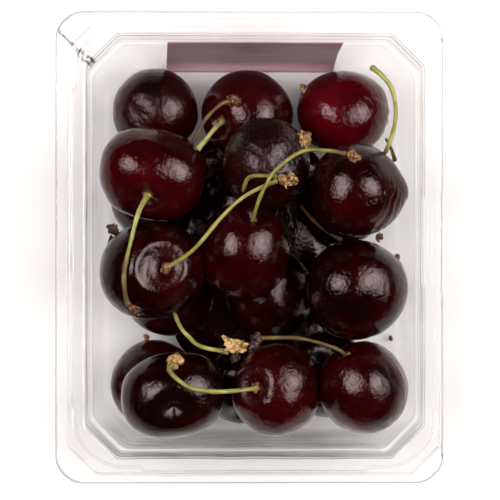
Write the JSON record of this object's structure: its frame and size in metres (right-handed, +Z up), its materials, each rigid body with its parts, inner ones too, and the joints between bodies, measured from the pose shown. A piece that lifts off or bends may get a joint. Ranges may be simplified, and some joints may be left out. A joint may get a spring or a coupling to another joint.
{
  "type": "punnet of cherries",
  "caption": "Open-topped clear plastic punnet with a stepped rim, heaped inside with dark glossy stemmed cherries, and a plain label on its far wall.",
  "frame": {"origin": "centre of the lip's outline, on the underside of the floor", "axes": "+X across the punnet towards the side with the finger recess, +Y along its length towards the labelled wall, +Z up"},
  "size_m": [0.116, 0.1412, 0.063],
  "materials": {
    "clear_plastic": "clear, glossy, formed sheet",
    "label_film": "matte mauve grey, plain",
    "cherry_skin": "very dark red, glossy skin",
    "stem_green": "yellow green, satin",
    "spur_brown": "dry, matte, tan to brown"
  },
  "bodies": {
    "root": {"punnet": "clear_plastic", "label": "label_film", "cherries": "cherry_skin"}
  },
  "joints": []
}
